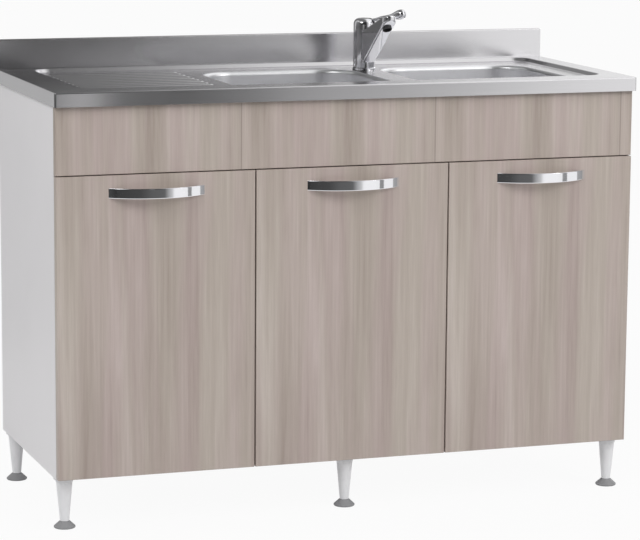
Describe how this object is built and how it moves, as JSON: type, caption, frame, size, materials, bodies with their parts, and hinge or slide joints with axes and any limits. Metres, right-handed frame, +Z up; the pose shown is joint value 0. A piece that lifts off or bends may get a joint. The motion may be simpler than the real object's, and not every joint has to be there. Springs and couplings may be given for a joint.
{
  "type": "kitchen sink unit",
  "caption": "Free-standing kitchen sink unit: pressed steel top with ribbed drainer, bowls, upstand and lever tap on a wood-grain cabinet with hinged doors, bow handles and screw feet.",
  "frame": {"origin": "on the floor, under the middle of the overall box", "axes": "+X to the right along the front, +Y to the wall behind, +Z up"},
  "size_m": [1.2, 0.522, 0.9703],
  "materials": {
    "steel_top": "satin pressed stainless steel",
    "steel_bowl": "satin deep-drawn stainless steel",
    "chipboard": "raw chipboard",
    "white_board": "white melamine-faced chipboard",
    "back_board": "white-faced hardboard",
    "elm_board": "grey-beige wood-grain melamine, vertical grain",
    "chrome": "polished chrome",
    "zinc_steel": "zinc-plated steel",
    "leg_white": "white plastic",
    "foot_grey": "grey plastic",
    "clear_pad": "clear soft plastic",
    "pipe_white": "white polypropylene",
    "brass": "turned brass",
    "cartridge": "moulded plastic",
    "mesh_dark": "dark plastic mesh"
  },
  "bodies": {
    "unit": {"back_panel": "back_board", "bottom_panel": "white_board", "bowl_left": "steel_bowl", "bowl_right": "steel_bowl", "bracket_screws": "zinc_steel", "door_buffers": "clear_pad", "drainer_board": "chipboard", "fascia": "elm_board", "fascia_brackets": "zinc_steel", "front_rail": "white_board", "hinge_arms": "zinc_steel", "hinge_plates": "zinc_steel", "leg_front_left": "leg_white", "leg_front_middle": "leg_white", "leg_front_right": "leg_white", "leg_plates": "leg_white", "leg_rear_left": "leg_white", "leg_rear_middle": "leg_white", "leg_rear_right": "leg_white", "outlet_pipe": "pipe_white", "partition": "white_board", "rear_rail": "white_board", "shelf": "white_board", "shelf_pins": "zinc_steel", "side_panel_left": "white_board", "side_panel_right": "white_board", "sink_top": "steel_top", "tap_base": "chrome", "tap_cartridge": "cartridge", "tap_nut": "brass", "tap_shank": "brass", "trap_body": "pipe_white", "trap_cup": "pipe_white", "waste_bodies": "pipe_white", "waste_flanges": "chrome", "waste_pipe": "pipe_white"},
    "door_left_body": {"door_left": "elm_board", "hinge_cups_left": "zinc_steel", "handle_left": "chrome", "handle_screws_left": "zinc_steel"},
    "door_middle_body": {"door_middle": "elm_board", "hinge_cups_middle": "zinc_steel", "handle_middle": "chrome", "handle_screws_middle": "zinc_steel"},
    "door_right_body": {"door_right": "elm_board", "hinge_cups_right": "zinc_steel", "handle_right": "chrome", "handle_screws_right": "zinc_steel"},
    "foot_front_left_body": {"foot_front_left": "foot_grey"},
    "foot_front_middle_body": {"foot_front_middle": "foot_grey"},
    "foot_front_right_body": {"foot_front_right": "foot_grey"},
    "foot_rear_left_body": {"foot_rear_left": "foot_grey"},
    "foot_rear_middle_body": {"foot_rear_middle": "foot_grey"},
    "foot_rear_right_body": {"foot_rear_right": "foot_grey"},
    "spout_body": {"spout": "chrome", "aerator": "mesh_dark"},
    "lever_cap_body": {"lever_cap": "chrome"},
    "lever_body": {"lever": "chrome"},
    "strainer_left_body": {"strainer_left": "chrome"},
    "strainer_right_body": {"strainer_right": "chrome"}
  },
  "joints": [
    {"name": "door_left_hinge", "type": "hinge", "parent": "unit", "child": "door_left_body", "pos_m": [-0.592, -0.225, 0.3955], "axis": [0, 0, -1], "range_deg": [0, 100]},
    {"name": "door_middle_hinge", "type": "hinge", "parent": "unit", "child": "door_middle_body", "pos_m": [-0.1945, -0.225, 0.3955], "axis": [0, 0, -1], "range_deg": [0, 100]},
    {"name": "door_right_hinge", "type": "hinge", "parent": "unit", "child": "door_right_body", "pos_m": [0.592, -0.225, 0.3955], "axis": [0, 0, 1], "range_deg": [0, 100]},
    {"name": "foot_front_left_screw", "type": "hinge", "parent": "unit", "child": "foot_front_left_body", "pos_m": [-0.575, -0.19, 0.02], "axis": [0, 0, 1], "continuous": true},
    {"name": "foot_front_middle_screw", "type": "hinge", "parent": "unit", "child": "foot_front_middle_body", "pos_m": [0, -0.19, 0.02], "axis": [0, 0, 1], "continuous": true},
    {"name": "foot_front_right_screw", "type": "hinge", "parent": "unit", "child": "foot_front_right_body", "pos_m": [0.575, -0.19, 0.02], "axis": [0, 0, 1], "continuous": true},
    {"name": "foot_rear_left_screw", "type": "hinge", "parent": "unit", "child": "foot_rear_left_body", "pos_m": [-0.575, 0.221, 0.02], "axis": [0, 0, 1], "continuous": true},
    {"name": "foot_rear_middle_screw", "type": "hinge", "parent": "unit", "child": "foot_rear_middle_body", "pos_m": [0, 0.221, 0.02], "axis": [0, 0, 1], "continuous": true},
    {"name": "foot_rear_right_screw", "type": "hinge", "parent": "unit", "child": "foot_rear_right_body", "pos_m": [0.575, 0.221, 0.02], "axis": [0, 0, 1], "continuous": true},
    {"name": "spout_swivel", "type": "hinge", "parent": "unit", "child": "spout_body", "pos_m": [0.15, 0.129, 0.88], "axis": [0, 0, 1], "range_deg": [-110, 110]},
    {"name": "lever_turn", "type": "hinge", "parent": "unit", "child": "lever_cap_body", "pos_m": [0.15, 0.129, 0.94], "axis": [0, 0, 1], "range_deg": [-90, 0]},
    {"name": "lever_lift", "type": "hinge", "parent": "lever_cap_body", "child": "lever_body", "pos_m": [0.15, 0.129, 0.9409], "axis": [-0.7071, -0.7071, 0], "range_deg": [0, 25]},
    {"name": "strainer_left_lift", "type": "slide", "parent": "unit", "child": "strainer_left_body", "axis": [0, 0, 1], "range_m": [0, 0.06]},
    {"name": "strainer_right_lift", "type": "slide", "parent": "unit", "child": "strainer_right_body", "axis": [0, 0, 1], "range_m": [0, 0.06]}
  ]
}
